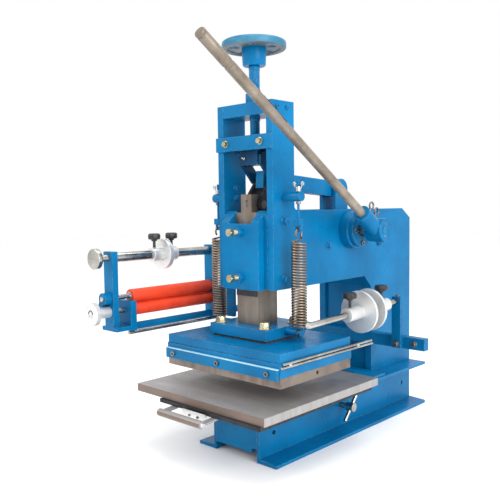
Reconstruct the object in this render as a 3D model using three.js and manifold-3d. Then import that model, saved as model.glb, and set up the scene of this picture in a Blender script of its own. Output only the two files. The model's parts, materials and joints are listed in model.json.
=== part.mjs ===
// Hand-lever hot foil stamper, in millimetres, +Z up, front of the machine towards -Y.
// Build coordinates: X = 0 is the ram's middle plane, Y = 0 the front end of the base channels,
// Z = 0 the floor. ORIGIN moves the finished meshes to the middle of the footprint.
import * as THREE from 'three';
import { mergeVertices } from 'three/addons/utils/BufferGeometryUtils.js';
import Module from 'manifold-3d';

const wasm = await Module();
wasm.setup();

// ---- driving dimensions ----
const ORIGIN = { x: -8.85, y: 171.36 };
const GAP = 0.3; // between pieces that touch
const FIT = 0.1; // radial play of a turning or pressed fit
const FINE = 32; // facets of a visible round
const COARSE = 18; // facets of a small round

const CHANNEL = { height: 100, flange: 48, web: 5.3, lip: 8.5, length: 545.2, rightX: 67, leftX: -43 };
const CHANNEL_HOLE = { radius: 5, z: 48, ys: [43, 509] };
const FRONT_PLATE = { y: 8, bottom: 16, top: 98, notch: 14 };

const PLATE = { inner: 57.3, outer: 72.3 };
const COLUMN = { front: 47.1, back: 110.1, bottom: 318, top: 675.4 };
const ARM = { top: 468.7, bottom: 319 };
const POST = { front: 376.5, back: 545.2 };
const POST_PLATE = { front: 384, thick: 8, top: 295 };
const TOP_PLATE = { bottom: 651.4 };

const RAM = { half: 28, front: 50.6, back: 106.6, bottom: 246.9, shoulder: 466, tangHalf: 14, top: 501 };
const GUIDE = { inner: 28.5, outer: 57, front: 47.4, back: 106.9, bottom: 320, top: 462, peak: 469 };
const REAR_GUIDE = { front: 107.3, back: 122, bottom: 322, top: 462 };
const COVER = { half: 48, front: 31.5, back: 46.8, bottom: 317.3, lip: 448, top: 461.7, notch: 30, notchZ: 444.5 };
const FLANGE = { half: 75, front: 20, back: 137, bottom: 226.2, top: 246.6 };
const PEG = { y: 78.6, z: 239, radius: 7.5, end: 114, groove: 107.5, grooveRadius: 5.5, grooveHalf: 3.4 };

const PLATEN = { half: 150, front: -27, back: 182.6, bottom: 159.9, top: 178.1 };
const HEAD = { half: 151.5, front: -28.5, back: 184, bottom: 178.4, top: 204.2, wall: 14 };
const HEAD_STRIP = { half: 149, front: -35, bottom: 175, top: 194 };
const HEAD_LID = { half: 150, front: -27, back: 182.6, bottom: 204.5, top: 221 };
const HEAD_PAD = { half: 70, front: 25, back: 132, top: 225.9 };

const TABLE = { half: 170.3, front: -92.4, back: 250, top: 128.5, thick: 14.8 };
const CARRIAGE = { left: -95, right: 165, front: -97, back: 236, bottom: 106.3 };
const BED = { left: -88, right: 112, front: 2, back: 370, bottom: 100.3, top: 106 };
const TABLE_HANDLE = { y: -132, z: 111, radius: 7, left: -48, right: 58 };

const UPPER_PIN = { y: 78.6, z: 576 };
const MID_PIN = { y: 121.49, z: 528.5 };
const LOWER_PIN = { y: 78.6, z: 481 };
const CRANK_PIN = { y: 336, z: 513.6 };
const SHAFT = { y: 295, z: 425.5, radius: 13.5 };
const PIN_RADIUS = 8;
const EYE = { play: 1, along: 1.3, down: 3.8, up: 4 }; // the connecting rod's front eye is a short slot

const SLIDER = { half: 56.8, front: 50, back: 107, bottom: 587, top: 613, lugHalf: 22, lugFront: 60, lugBottom: 558 };
const CLAMP_BAR = { half: 73, front: 42, back: 46.8, bottom: 585.5, top: 613.2 };
const SCREW = { thin: 10, thick: 11, stub: 8, top: 749.2 };
const LOCK_NUT = { across: 32, bottom: 675.7, top: 697 };
const WHEEL = { radius: 63, bottom: 780, top: 797, hub: 24, hubBottom: 749.5, rim: 11 };

const CROSSBAR = { y: 78.6, z: 495, radius: 9, end: 116 };
const SPRING = { x: 107.5, y: 78.6, wire: 1.7, coil: 13.3, bottom: 251, top: 407, turns: 17 };
const HANGER = { half: 7, bottom: 429, top: 453, rod: 2.5, rodTop: 524 };

const REAR_BAR = { half: 214.3, front: 358, back: 376, bottom: 170, top: 195.4 };
const SUPPLY = { x: 155, y: 352, z: 272, radius: 6, droop: 2, front: 44, back: 358.5 };
const REWIND = { x: -200, top: 380.5, upper: 301, lower: 274, bar: 238 };

// ---- materials ----
function paint(name, colour, roughness, metalness) {
  const material = new THREE.MeshStandardMaterial({ color: colour, roughness: roughness, metalness: metalness });
  material.name = name;
  return material;
}

const bluePaint = () => paint('blue_paint', 0x0f7fc0, 0.45, 0.1);
const darkSteel = () => paint('dark_steel', 0x3c4148, 0.55, 0.7);
const greySteel = () => paint('grey_steel', 0x8f9296, 0.4, 0.8);
const wornSteel = () => paint('worn_steel', 0x8d8577, 0.5, 0.7);
const platenSteel = () => paint('platen_steel', 0x7d7064, 0.5, 0.8);
const polished = () => paint('polished_steel', 0xc4c7ca, 0.2, 0.95);
const aluminium = () => paint('aluminium', 0xb9bcc0, 0.35, 0.9);
const rollerRubber = () => paint('roller_rubber', 0xe8431f, 0.5, 0.0);
const blackPlastic = () => paint('black_plastic', 0x1c1c20, 0.4, 0.0);

// ---- solids ----
function solid(geometry) {
  const plain = geometry.index ? geometry.toNonIndexed() : geometry;
  plain.deleteAttribute('normal');
  plain.deleteAttribute('uv');
  const merged = mergeVertices(plain, 1e-4);
  const corners = merged.index.array;
  const kept = [];
  for (let i = 0; i < corners.length; i += 3) {
    const [a, b, c] = [corners[i], corners[i + 1], corners[i + 2]];
    if (a !== b && b !== c && c !== a) {
      kept.push(a, b, c);
    }
  }
  const mesh = new wasm.Mesh({
    numProp: 3,
    vertProperties: Float32Array.from(merged.attributes.position.array),
    triVerts: Uint32Array.from(kept),
  });
  return new wasm.Manifold(mesh);
}

function join(first, ...others) {
  let sum = first;
  for (const other of others) {
    sum = sum.add(other);
  }
  return sum;
}

function cut(body, ...tools) {
  let rest = body;
  for (const tool of tools) {
    rest = rest.subtract(tool);
  }
  return rest;
}

function box(x0, x1, y0, y1, z0, z1) {
  const geometry = new THREE.BoxGeometry(x1 - x0, y1 - y0, z1 - z0);
  geometry.translate((x0 + x1) / 2, (y0 + y1) / 2, (z0 + z1) / 2);
  return solid(geometry);
}

// a round bar between two points
function rod(from, to, radius, facets = COARSE, endRadius = radius) {
  const start = new THREE.Vector3(...from);
  const end = new THREE.Vector3(...to);
  const along = end.clone().sub(start);
  const geometry = new THREE.CylinderGeometry(endRadius, radius, along.length(), facets);
  const turn = new THREE.Quaternion().setFromUnitVectors(new THREE.Vector3(0, 1, 0), along.normalize());
  geometry.applyQuaternion(turn);
  geometry.translate((from[0] + to[0]) / 2, (from[1] + to[1]) / 2, (from[2] + to[2]) / 2);
  return solid(geometry);
}

const rodX = (y, z, radius, x0, x1, facets) => rod([x0, y, z], [x1, y, z], radius, facets);
const rodY = (x, z, radius, y0, y1, facets) => rod([x, y0, z], [x, y1, z], radius, facets);
const rodZ = (x, y, radius, z0, z1, facets) => rod([x, y, z0], [x, y, z1], radius, facets);

function outline(points) {
  const shape = new THREE.Shape();
  shape.moveTo(points[0][0], points[0][1]);
  for (const [a, b] of points.slice(1)) {
    shape.lineTo(a, b);
  }
  shape.closePath();
  return shape;
}

// a plate with its outline in Y and Z, thick along X
function plateX(points, x0, x1) {
  const geometry = new THREE.ExtrudeGeometry(outline(points), { depth: x1 - x0, bevelEnabled: false });
  const axes = new THREE.Matrix4().makeBasis(
    new THREE.Vector3(0, 1, 0),
    new THREE.Vector3(0, 0, 1),
    new THREE.Vector3(1, 0, 0),
  );
  geometry.applyMatrix4(axes);
  geometry.translate(x0, 0, 0);
  return solid(geometry);
}

// a plate with its outline in X and Z, thick along Y
function plateY(points, y0, y1) {
  const geometry = new THREE.ExtrudeGeometry(outline(points), { depth: y1 - y0, bevelEnabled: false });
  geometry.rotateX(Math.PI / 2);
  geometry.translate(0, y1, 0);
  return solid(geometry);
}

// a plate with its outline in X and Y, thick along Z
function plateZ(points, z0, z1) {
  const geometry = new THREE.ExtrudeGeometry(outline(points), { depth: z1 - z0, bevelEnabled: false });
  geometry.translate(0, 0, z0);
  return solid(geometry);
}

// the radius of a faceted bore that clears a round bar of this radius by the play all round
function loose(radius, play = FIT) {
  return (radius + play) / Math.cos(Math.PI / COARSE);
}

function polygon(centreA, centreB, radius, sides, turn = 0) {
  const points = [];
  for (let i = 0; i < sides; i += 1) {
    const angle = turn + (i * 2 * Math.PI) / sides;
    points.push([centreA + radius * Math.cos(angle), centreB + radius * Math.sin(angle)]);
  }
  return points;
}

// a wire bent through the given points, one step from each point to the next
function wire(points, radius, sides) {
  const path = new THREE.CatmullRomCurve3(points.map((p) => new THREE.Vector3(...p)));
  path.getUtoTmapping = (u) => u;
  const section = outline(polygon(0, 0, radius, sides));
  const steps = points.length - 1;
  return solid(new THREE.ExtrudeGeometry(section, { steps: steps, extrudePath: path, bevelEnabled: false }));
}

// rotates a solid about a line along X through (y, z)
function tiltX(body, y, z, degrees) {
  return body.translate([0, -y, -z]).rotate([degrees, 0, 0]).translate([0, y, z]);
}

function mirrored(body) {
  return body.mirror([1, 0, 0]);
}

// ---- the assembly ----
const stamper = new THREE.Group();
stamper.name = 'hot_foil_stamper';

function add(name, body, material) {
  const data = body.getMesh();
  const geometry = new THREE.BufferGeometry();
  const corners = new Float32Array((data.vertProperties.length / data.numProp) * 3);
  for (let i = 0; i < corners.length / 3; i += 1) {
    for (let k = 0; k < 3; k += 1) {
      corners[3 * i + k] = data.vertProperties[data.numProp * i + k];
    }
  }
  geometry.setAttribute('position', new THREE.BufferAttribute(corners, 3));
  geometry.setIndex(new THREE.BufferAttribute(Uint32Array.from(data.triVerts), 1));
  geometry.translate(-ORIGIN.x, -ORIGIN.y, 0);
  geometry.computeVertexNormals();
  const mesh = new THREE.Mesh(geometry, material);
  mesh.name = name;
  stamper.add(mesh);
}

// ---- base ----
function baseChannel(webX, side) {
  const out = webX + side * CHANNEL.flange;
  const inside = webX + side * CHANNEL.web;
  const points = [
    [webX, 0],
    [out, 0],
    [out, CHANNEL.lip * 0.7],
    [inside, CHANNEL.lip],
    [inside, CHANNEL.height - CHANNEL.lip],
    [out, CHANNEL.height - CHANNEL.lip * 0.7],
    [out, CHANNEL.height],
    [webX, CHANNEL.height],
  ];
  const ordered = side > 0 ? points : points.reverse();
  const web = plateY(ordered, 0, CHANNEL.length);
  const holes = CHANNEL_HOLE.ys.map((y) => {
    return rodX(y, CHANNEL_HOLE.z, CHANNEL_HOLE.radius, webX - 20, webX + 20);
  });
  return cut(web, ...holes);
}

const CLAMP_SCREW = { y: 257, z: 53, radius: 6 };

function addBase() {
  const bore = rodX(CLAMP_SCREW.y, CLAMP_SCREW.z, loose(CLAMP_SCREW.radius), 50, 90);
  add('base_channel_right', cut(baseChannel(CHANNEL.rightX, 1), bore), bluePaint());
  add('base_channel_left', baseChannel(CHANNEL.leftX, -1), bluePaint());
  const left = CHANNEL.leftX + GAP;
  const right = CHANNEL.rightX - GAP;
  const plate = box(left, right, 0, FRONT_PLATE.y, FRONT_PLATE.bottom, FRONT_PLATE.top);
  const notch = box(right - FRONT_PLATE.notch, right + 1, -1, FRONT_PLATE.y + 1, 10, FRONT_PLATE.bottom + 9);
  add('base_front_plate', cut(plate, notch), bluePaint());
}

function addClampScrew() {
  const { y, z, radius } = CLAMP_SCREW;
  const screw = join(
    rodX(y, z, radius, 52, 94),
    rodX(y, z, 9, 90, 108),
    rod([100, 279, 78], [100, 235, 28], 4, COARSE),
  );
  add('clamp_screw', screw, polished());
}

// ---- frame ----
function sidePlate() {
  const points = [
    [COLUMN.front, COLUMN.bottom],
    [POST.front - 26, ARM.bottom + 1.5],
    [POST.front, POST_PLATE.top],
    [POST.front, CHANNEL.height + GAP],
    [POST.back, CHANNEL.height + GAP],
    [POST.back, 446],
    [510, ARM.top],
    [COLUMN.back + 6, ARM.top],
    [COLUMN.back, ARM.top + 6],
    [COLUMN.back, COLUMN.top],
    [COLUMN.front, COLUMN.top],
  ];
  const plate = plateX(points, PLATE.inner, PLATE.outer);
  const stub = rodX(CROSSBAR.y, CROSSBAR.z, CROSSBAR.radius, PLATE.outer - 2, CROSSBAR.end);
  return cut(
    join(plate, stub),
    rodX(SHAFT.y, SHAFT.z, loose(SHAFT.radius), 50, 80, FINE),
    rodZ(SPRING.x, SPRING.y, loose(HANGER.rod), 480, 510),
  );
}

function addFrame() {
  add('side_frame_right', sidePlate(), bluePaint());
  add('side_frame_left', mirrored(sidePlate()), bluePaint());
  const half = PLATE.inner - GAP;
  const back = POST_PLATE.front + POST_PLATE.thick;
  const web = plateX([
    [POST_PLATE.front, CHANNEL.height + GAP],
    [back, CHANNEL.height + GAP],
    [back, 297],
    [362, 327],
    [356.4, 321.4],
    [POST_PLATE.front, 293.7],
  ], -half, half);
  add('post_front_plate', web, bluePaint());
  const top = box(-half, half, COLUMN.front, COLUMN.back, TOP_PLATE.bottom, COLUMN.top);
  add('column_top_plate', cut(top, rodZ(0, UPPER_PIN.y, loose(SCREW.thick), 640, 690, FINE)), bluePaint());
}

// ---- ram guides and front cover ----
function addGuides() {
  const guide = plateX([
    [GUIDE.front, GUIDE.bottom],
    [GUIDE.back, GUIDE.bottom],
    [GUIDE.back, GUIDE.top],
    [55, GUIDE.peak],
    [GUIDE.front, GUIDE.top],
  ], GUIDE.inner, GUIDE.outer);
  add('ram_guide_right', guide, bluePaint());
  add('ram_guide_left', mirrored(guide), bluePaint());
  const half = PLATE.inner - 0.5;
  const rear = box(-half, half, REAR_GUIDE.front, REAR_GUIDE.back, REAR_GUIDE.bottom, REAR_GUIDE.top);
  add('rear_guide_plate', rear, bluePaint());
  const cover = plateX([
    [COVER.front, COVER.bottom],
    [COVER.back, COVER.bottom],
    [COVER.back, COVER.top],
    [COVER.front, COVER.lip],
  ], -COVER.half, COVER.half);
  const notch = box(-COVER.notch, COVER.notch, 20, 60, COVER.notchZ, 480);
  add('front_cover', cut(cover, notch), bluePaint());
}

// ---- ram and head ----
function ramBody() {
  const bar = box(-RAM.half, RAM.half, RAM.front, RAM.back, RAM.bottom, RAM.shoulder);
  const tang = box(-RAM.tangHalf, RAM.tangHalf, RAM.front, RAM.back, RAM.shoulder - 1, RAM.top);
  return join(bar, tang, rodX(LOWER_PIN.y, LOWER_PIN.z, PIN_RADIUS, -22, 22));
}

function springPeg() {
  const groove = cut(
    rodX(PEG.y, PEG.z, PEG.radius + 2, PEG.groove - PEG.grooveHalf, PEG.groove + PEG.grooveHalf),
    rodX(PEG.y, PEG.z, PEG.grooveRadius, PEG.groove - 10, PEG.groove + 10),
  );
  return cut(rodX(PEG.y, PEG.z, PEG.radius, FLANGE.half - 2, PEG.end), groove);
}

function addRam() {
  add('ram', ramBody(), polished());
  const block = box(-FLANGE.half, FLANGE.half, FLANGE.front, FLANGE.back, FLANGE.bottom, FLANGE.top);
  add('ram_flange', join(block, springPeg(), mirrored(springPeg())), bluePaint());
}

function addHead() {
  const lid = box(-HEAD_LID.half, HEAD_LID.half, HEAD_LID.front, HEAD_LID.back, HEAD_LID.bottom, HEAD_LID.top);
  const pad = box(-HEAD_PAD.half, HEAD_PAD.half, HEAD_PAD.front, HEAD_PAD.back, HEAD_LID.top - 1, HEAD_PAD.top);
  add('head_cover', join(lid, pad), bluePaint());
  const inner = HEAD.half - HEAD.wall;
  const ring = cut(
    box(-HEAD.half, HEAD.half, HEAD.front, HEAD.back, HEAD.bottom, HEAD.top),
    box(-inner, inner, HEAD.front + HEAD.wall, HEAD.back - HEAD.wall, HEAD.bottom - 5, HEAD.top + 5),
  );
  const strip = box(
    -HEAD_STRIP.half, HEAD_STRIP.half, HEAD_STRIP.front, HEAD.front + 0.4, HEAD_STRIP.bottom, HEAD_STRIP.top,
  );
  const relief = box(-PLATEN.half - 1, PLATEN.half + 1, HEAD.front, HEAD.front + 2, 170, HEAD.bottom);
  add('head_frame', cut(join(ring, strip), relief), bluePaint());
  const plate = box(-PLATEN.half, PLATEN.half, PLATEN.front, PLATEN.back, PLATEN.bottom, PLATEN.top);
  const probeHole = rodX(78, 170, 3.5, PLATEN.half - 25, PLATEN.half + 5, COARSE);
  add('heating_plate', cut(plate, probeHole), platenSteel());
}

const FOIL_ROD = { x: 154.3, radius: 2.4, front: -28, back: 254, upper: 203.5, lower: 197.3 };

function addFoilRod() {
  const { x, radius, front, back, upper, lower } = FOIL_ROD;
  const rods = join(
    rodY(x, upper, radius, front + 4, back - 3, 16),
    rodY(x, lower, radius, front, back, 16),
    box(x - 2, x + 2, 198, 206, lower, upper),
    box(x - 2, x + 2, -10, -2, lower, upper),
  );
  add('foil_guide_rod', rods, polished());
}

// ---- table ----
function addTable() {
  const bottom = TABLE.top - TABLE.thick;
  const slab = box(-TABLE.half, TABLE.half, TABLE.front, TABLE.back, bottom, TABLE.top);
  add('worktable', slab, greySteel());
  const carriage = cut(
    box(CARRIAGE.left, CARRIAGE.right, CARRIAGE.front, CARRIAGE.back, CARRIAGE.bottom, bottom - GAP),
    box(CARRIAGE.left + 45, CARRIAGE.right - 45, -40, CARRIAGE.back - 45, 100, 120),
  );
  add('table_carriage', carriage, darkSteel());
  const bed = cut(
    box(BED.left, BED.right, BED.front, BED.back, BED.bottom, BED.top),
    box(BED.left + 50, BED.right - 50, BED.front + 40, BED.back - 40, 90, 120),
  );
  add('table_bed', bed, bluePaint());
  const { y, z, radius, left, right } = TABLE_HANDLE;
  const top = CARRIAGE.bottom - GAP;
  const strap = (x, back) => plateZ([[x - 6, y], [x + 6, y], [back + 6, -83], [back - 6, -83]], top - 4, top);
  const handle = join(
    rodX(y, z - radius, radius, left - 4, right + 4, COARSE),
    strap(left, left - 8),
    strap(right, right - 6),
  );
  add('table_handle', handle, greySteel());
}

// ---- toggle ----
// a point given along and across the upper link, from its upper pin
function onLink(s, n) {
  const dy = (MID_PIN.y - UPPER_PIN.y) / 64;
  const dz = (MID_PIN.z - UPPER_PIN.z) / 64;
  return [UPPER_PIN.y + s * dy + n * dz, UPPER_PIN.z + s * dz - n * dy];
}

function upperLink() {
  const front = [[62.3, 560], [62.3, 577]];
  const edge = [[0, -10], [20, 0], [44, 0], [64, -15], [64, 15], [51, 22], [2, 22]].map(([s, n]) => onLink(s, n));
  const cheek = join(
    plateX([...edge, ...front], 22.4, 28.4),
    rodX(UPPER_PIN.y, UPPER_PIN.z, 10, 22.4, 28.4),
    rodX(MID_PIN.y, MID_PIN.z, 15, 22.4, 28.4),
  );
  const pin = rodX(UPPER_PIN.y, UPPER_PIN.z, PIN_RADIUS, -24, 24);
  const bore = rodX(MID_PIN.y, MID_PIN.z, loose(PIN_RADIUS), -40, 40);
  return cut(join(cheek, mirrored(cheek), pin), bore);
}

function lowerLink() {
  const half = { upper: 18, lower: 14 };
  const side = Math.hypot(MID_PIN.y - LOWER_PIN.y, MID_PIN.z - LOWER_PIN.z);
  const dy = (LOWER_PIN.y - MID_PIN.y) / side;
  const dz = (LOWER_PIN.z - MID_PIN.z) / side;
  const corner = (pin, reach) => [pin.y - reach * dz, pin.z + reach * dy];
  const bar = plateX([
    corner(MID_PIN, half.upper),
    corner(MID_PIN, -half.upper),
    corner(LOWER_PIN, -half.lower),
    corner(LOWER_PIN, half.lower),
  ], 14.5, 22);
  const plate = join(
    bar,
    rodX(MID_PIN.y, MID_PIN.z, half.upper, 14.5, 22),
    rodX(LOWER_PIN.y, LOWER_PIN.z, half.lower, 14.5, 22),
  );
  return cut(
    plate,
    rodX(MID_PIN.y, MID_PIN.z, loose(PIN_RADIUS), 0, 40),
    rodX(LOWER_PIN.y, LOWER_PIN.z, loose(PIN_RADIUS), 0, 40),
  );
}

function connectingRod() {
  const half = 17;
  const length = Math.hypot(CRANK_PIN.y - MID_PIN.y, CRANK_PIN.z - MID_PIN.z);
  const dy = (CRANK_PIN.y - MID_PIN.y) / length;
  const dz = (CRANK_PIN.z - MID_PIN.z) / length;
  const at = (s, n) => [MID_PIN.y + s * dy - n * dz, MID_PIN.z + s * dz + n * dy];
  const bar = plateX([at(-31.5, -half), at(length, -half), at(length, half), at(-31.5, half)], -10, 10);
  const slot = [-EYE.down, -EYE.down / 2, 0, EYE.up / 2, EYE.up].flatMap((n) => [0, EYE.along].map((s) => {
    const [y, z] = at(s, n);
    return rodX(y, z, loose(PIN_RADIUS, EYE.play), -20, 20);
  }));
  return cut(
    join(bar, rodX(CRANK_PIN.y, CRANK_PIN.z, half, -10, 10, FINE)),
    ...slot,
    rodX(CRANK_PIN.y, CRANK_PIN.z, loose(PIN_RADIUS), -20, 20),
  );
}

function crankFork() {
  const reach = 23;
  const side = join(
    plateX([
      [SHAFT.y - 20, SHAFT.z + 13],
      [SHAFT.y + 23, SHAFT.z - 8],
      [CRANK_PIN.y + reach, 469.5],
      [CRANK_PIN.y + reach, CRANK_PIN.z],
      [CRANK_PIN.y - reach, CRANK_PIN.z],
      [CRANK_PIN.y - reach, 469],
    ], 14, 22),
    rodX(CRANK_PIN.y, CRANK_PIN.z, reach, 14, 22, FINE),
    rodX(SHAFT.y, SHAFT.z, 24, 14, 22, FINE),
  );
  return cut(
    join(
      side,
      mirrored(side),
      rodX(SHAFT.y, SHAFT.z, 22, -16, 16, FINE),
      rodX(CRANK_PIN.y, CRANK_PIN.z, PIN_RADIUS, -16, 16),
    ),
    rodX(SHAFT.y, SHAFT.z, loose(SHAFT.radius), -30, 30, FINE),
  );
}

function addToggle() {
  add('upper_link', upperLink(), bluePaint());
  add('lower_link_right', lowerLink(), darkSteel());
  add('lower_link_left', mirrored(lowerLink()), darkSteel());
  add('mid_pin', rodX(MID_PIN.y, MID_PIN.z, PIN_RADIUS, -28, 28), polished());
  add('connecting_rod', connectingRod(), bluePaint());
  add('crank_fork', crankFork(), bluePaint());
  add('main_shaft', rodX(SHAFT.y, SHAFT.z, SHAFT.radius, -82, 161.5, FINE), polished());
}

// ---- slider, screw and handwheel ----
function addSlider() {
  const block = join(
    box(-SLIDER.half, SLIDER.half, SLIDER.front, SLIDER.back, SLIDER.bottom, SLIDER.top),
    box(-SLIDER.lugHalf, SLIDER.lugHalf, SLIDER.lugFront, SLIDER.back - 10, SLIDER.lugBottom, SLIDER.bottom + 1),
  );
  const bores = [
    rodX(UPPER_PIN.y, UPPER_PIN.z, loose(PIN_RADIUS), -30, 30),
    rodZ(0, UPPER_PIN.y, loose(SCREW.thin), SLIDER.top - 12, SLIDER.top + 5, FINE),
  ];
  add('slider_block', cut(block, ...bores), bluePaint());
  const bar = box(
    -CLAMP_BAR.half, CLAMP_BAR.half, CLAMP_BAR.front, CLAMP_BAR.back, CLAMP_BAR.bottom, CLAMP_BAR.top,
  );
  add('slider_clamp_bar', bar, bluePaint());
  const y = UPPER_PIN.y;
  const screw = join(
    rodZ(0, y, SCREW.thin, SLIDER.top - 11.5, 641, FINE),
    rodZ(0, y, SCREW.thick, 640, SCREW.top, FINE),
    rodZ(0, y, SCREW.stub, SCREW.top - 1, 789, COARSE),
  );
  add('adjusting_screw', screw, bluePaint());
  const nut = cut(
    plateZ(polygon(0, y, LOCK_NUT.across / Math.sqrt(3), 6), LOCK_NUT.bottom, LOCK_NUT.top),
    rodZ(0, y, loose(SCREW.thick), 670, 700, FINE),
  );
  add('screw_lock_nut', nut, bluePaint());
}

function addHandwheel() {
  const y = UPPER_PIN.y;
  const turned = cut(
    rodZ(0, y, WHEEL.radius, WHEEL.bottom, WHEEL.top, FINE),
    rodZ(0, y, WHEEL.radius - WHEEL.rim, WHEEL.bottom - 1, WHEEL.bottom + 9, FINE),
    rodZ(0, y, WHEEL.radius - WHEEL.rim, WHEEL.top - 3, WHEEL.top + 1, FINE),
  );
  let wheel = join(turned, rodZ(0, y, WHEEL.hub, WHEEL.hubBottom, WHEEL.top - 1, FINE));
  const openings = 5;
  for (let i = 0; i < openings; i += 1) {
    const angle = (i * 2 * Math.PI) / openings + 0.3;
    const x = 38 * Math.cos(angle);
    const dy = 38 * Math.sin(angle);
    wheel = cut(wheel, rodZ(x, y + dy, 10, WHEEL.bottom, WHEEL.top + 2, COARSE));
  }
  wheel = cut(wheel, rodZ(0, y, loose(SCREW.stub), WHEEL.hubBottom - 1, 790, COARSE));
  add('handwheel', wheel, bluePaint());
}

// ---- handle ----
const BAR = { x: 143, y: 234, z: 460.6, radius: 9.5, rise: 33.1, back: 36, front: 513.2 };

function onBar(distance) {
  const angle = THREE.MathUtils.degToRad(BAR.rise);
  return [BAR.x, BAR.y - distance * Math.cos(angle), BAR.z + distance * Math.sin(angle)];
}

function addHandle() {
  const housing = cut(
    join(
      rodX(SHAFT.y, SHAFT.z, 39.5, PLATE.outer + GAP, 92, FINE),
      rodX(SHAFT.y, SHAFT.z, 36.5, 91, 104, FINE),
    ),
    rodX(SHAFT.y, SHAFT.z, loose(SHAFT.radius), 60, 120, FINE),
  );
  add('shaft_housing', housing, bluePaint());
  const hub = cut(
    join(rodX(SHAFT.y, SHAFT.z, 24.5, 124, 162, FINE), rod(onBar(-60), onBar(1), 17.5, FINE)),
    rod(onBar(-BAR.back - 1), onBar(20), loose(BAR.radius), COARSE),
    rodX(SHAFT.y, SHAFT.z, loose(SHAFT.radius), 110, 170, FINE),
  );
  add('handle_hub', hub, bluePaint());
  add('handle_bar', rod(onBar(-BAR.back), onBar(BAR.front), BAR.radius, COARSE), wornSteel());
}

// ---- return springs ----
function springWire() {
  const points = [];
  const { x, y } = SPRING;
  const hookRadius = PEG.grooveRadius + SPRING.wire + 0.5;
  for (let degrees = -170; degrees <= -20; degrees += 30) {
    const angle = THREE.MathUtils.degToRad(degrees);
    points.push([x, y + hookRadius * Math.cos(angle), PEG.z + hookRadius * Math.sin(angle)]);
  }
  points.push([x, y + hookRadius + 1.5, PEG.z + 2]);
  points.push([x - 1, y + hookRadius + 4, PEG.z + 8]);
  const perTurn = 6;
  const count = SPRING.turns * perTurn;
  for (let i = 0; i <= count; i += 1) {
    const angle = (i * 2 * Math.PI) / perTurn;
    const z = SPRING.bottom + ((SPRING.top - SPRING.bottom) * i) / count;
    points.push([x + SPRING.coil * Math.sin(angle), y + SPRING.coil * Math.cos(angle), z]);
  }
  points.push([x, y + 7, SPRING.top + 6]);
  points.push([x, y + 6.2, SPRING.top + 16]);
  for (let degrees = -30; degrees <= 210; degrees += 40) {
    const angle = THREE.MathUtils.degToRad(degrees);
    points.push([x, y + 5.4 * Math.cos(angle), 430.4 + 5.4 * Math.sin(angle)]);
  }
  return wire(points, SPRING.wire, 4);
}

function springHanger() {
  const { x, y } = SPRING;
  const shank = box(x - HANGER.half, x + HANGER.half, y - 6, y + 6, 441, HANGER.top);
  const tongue = box(x - HANGER.half, x + HANGER.half, y - 1.8, y + 1.8, HANGER.bottom, 442);
  const thread = rodZ(x, y, HANGER.rod, HANGER.top - 2, HANGER.rodTop);
  return cut(join(shank, tongue, thread), rodY(x, 435.6, 3.8, y - 10, y + 10));
}

function wingNut() {
  const { x, y } = SPRING;
  const base = CROSSBAR.z + CROSSBAR.radius + GAP;
  const wing = plateY([
    [x + 3, base + 2],
    [x + 6, base + 2],
    [x + 13, base + 14],
    [x + 10.5, base + 17],
    [x + 5, base + 13],
    [x + 3, base + 8],
  ], y - 1.6, y + 1.6);
  const opposite = mirrored(wing).translate([2 * x, 0, 0]);
  return cut(
    join(rod([x, y, base], [x, y, base + 9], 5.8, COARSE, 4.8), wing, opposite),
    rodZ(x, y, loose(HANGER.rod), base - 5, base + 30),
  );
}

function addSprings() {
  add('spring_right', springWire(), darkSteel());
  add('spring_left', mirrored(springWire()), darkSteel());
  add('spring_hanger_right', springHanger(), bluePaint());
  add('spring_hanger_left', mirrored(springHanger()), bluePaint());
  add('wing_nut_right', wingNut(), darkSteel());
  add('wing_nut_left', mirrored(wingNut()), darkSteel());
}

// ---- foil supply at the right ----
function onSupply(body) {
  return tiltX(body, SUPPLY.y, SUPPLY.z, SUPPLY.droop);
}

function supplyKnob(y) {
  return onSupply(join(
    rodZ(SUPPLY.x, y, 3, SUPPLY.z + SUPPLY.radius + 1, SUPPLY.z + 32, 16),
    rodZ(SUPPLY.x, y, 14, SUPPLY.z + 31, SUPPLY.z + 43, FINE),
  ));
}

function supplyDisc(discY, hubFrom, hubTo, knobY) {
  const { x, z, radius } = SUPPLY;
  return onSupply(cut(
    join(rodY(x, z, 42, discY - 3, discY + 3, FINE), rodY(x, z, 14, hubFrom, hubTo, FINE)),
    rodY(x, z, loose(radius), hubFrom - 5, hubTo + 5, FINE),
    rodZ(x, knobY, loose(3), z + 2, z + 20, 16),
  ));
}

function addSupply() {
  const bar = box(-REAR_BAR.half, REAR_BAR.half, REAR_BAR.front, REAR_BAR.back, REAR_BAR.bottom, REAR_BAR.top);
  add('rear_crossbar', bar, bluePaint());
  const { x, y, z, radius } = SUPPLY;
  const arm = box(x - 11, x + 10, REAR_BAR.front - 12.3, REAR_BAR.front - GAP, 172, 281.5);
  const bore = onSupply(rodY(x, z, loose(radius), y - 30, y + 30));
  add('supply_arm', cut(arm, bore), bluePaint());
  add('supply_shaft', onSupply(rodY(x, z, radius, SUPPLY.front, REAR_BAR.front - GAP - 0.4)), polished());
  add('supply_disc_front', supplyDisc(208, 163, 209, 176), aluminium());
  add('supply_disc_rear', supplyDisc(240, 239, 306, 288), aluminium());
  add('supply_knob_front', supplyKnob(176), blackPlastic());
  add('supply_knob_rear', supplyKnob(288), blackPlastic());
}

// ---- foil rewind at the left ----
const UPRIGHT = { half: 14.5, front: -134.5, back: -121.5, top: 393 };
const REAR_UPRIGHT = { front: 135, back: 148 };
const AXLE = 5;
const JOURNAL = 7;

function rewindHoles(y0, y1) {
  const { x, top, upper, lower } = REWIND;
  return [
    rodY(x, top, loose(JOURNAL), y0, y1),
    rodY(x, upper, loose(AXLE), y0, y1),
    rodY(x, lower, loose(AXLE), y0, y1),
  ];
}

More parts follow.
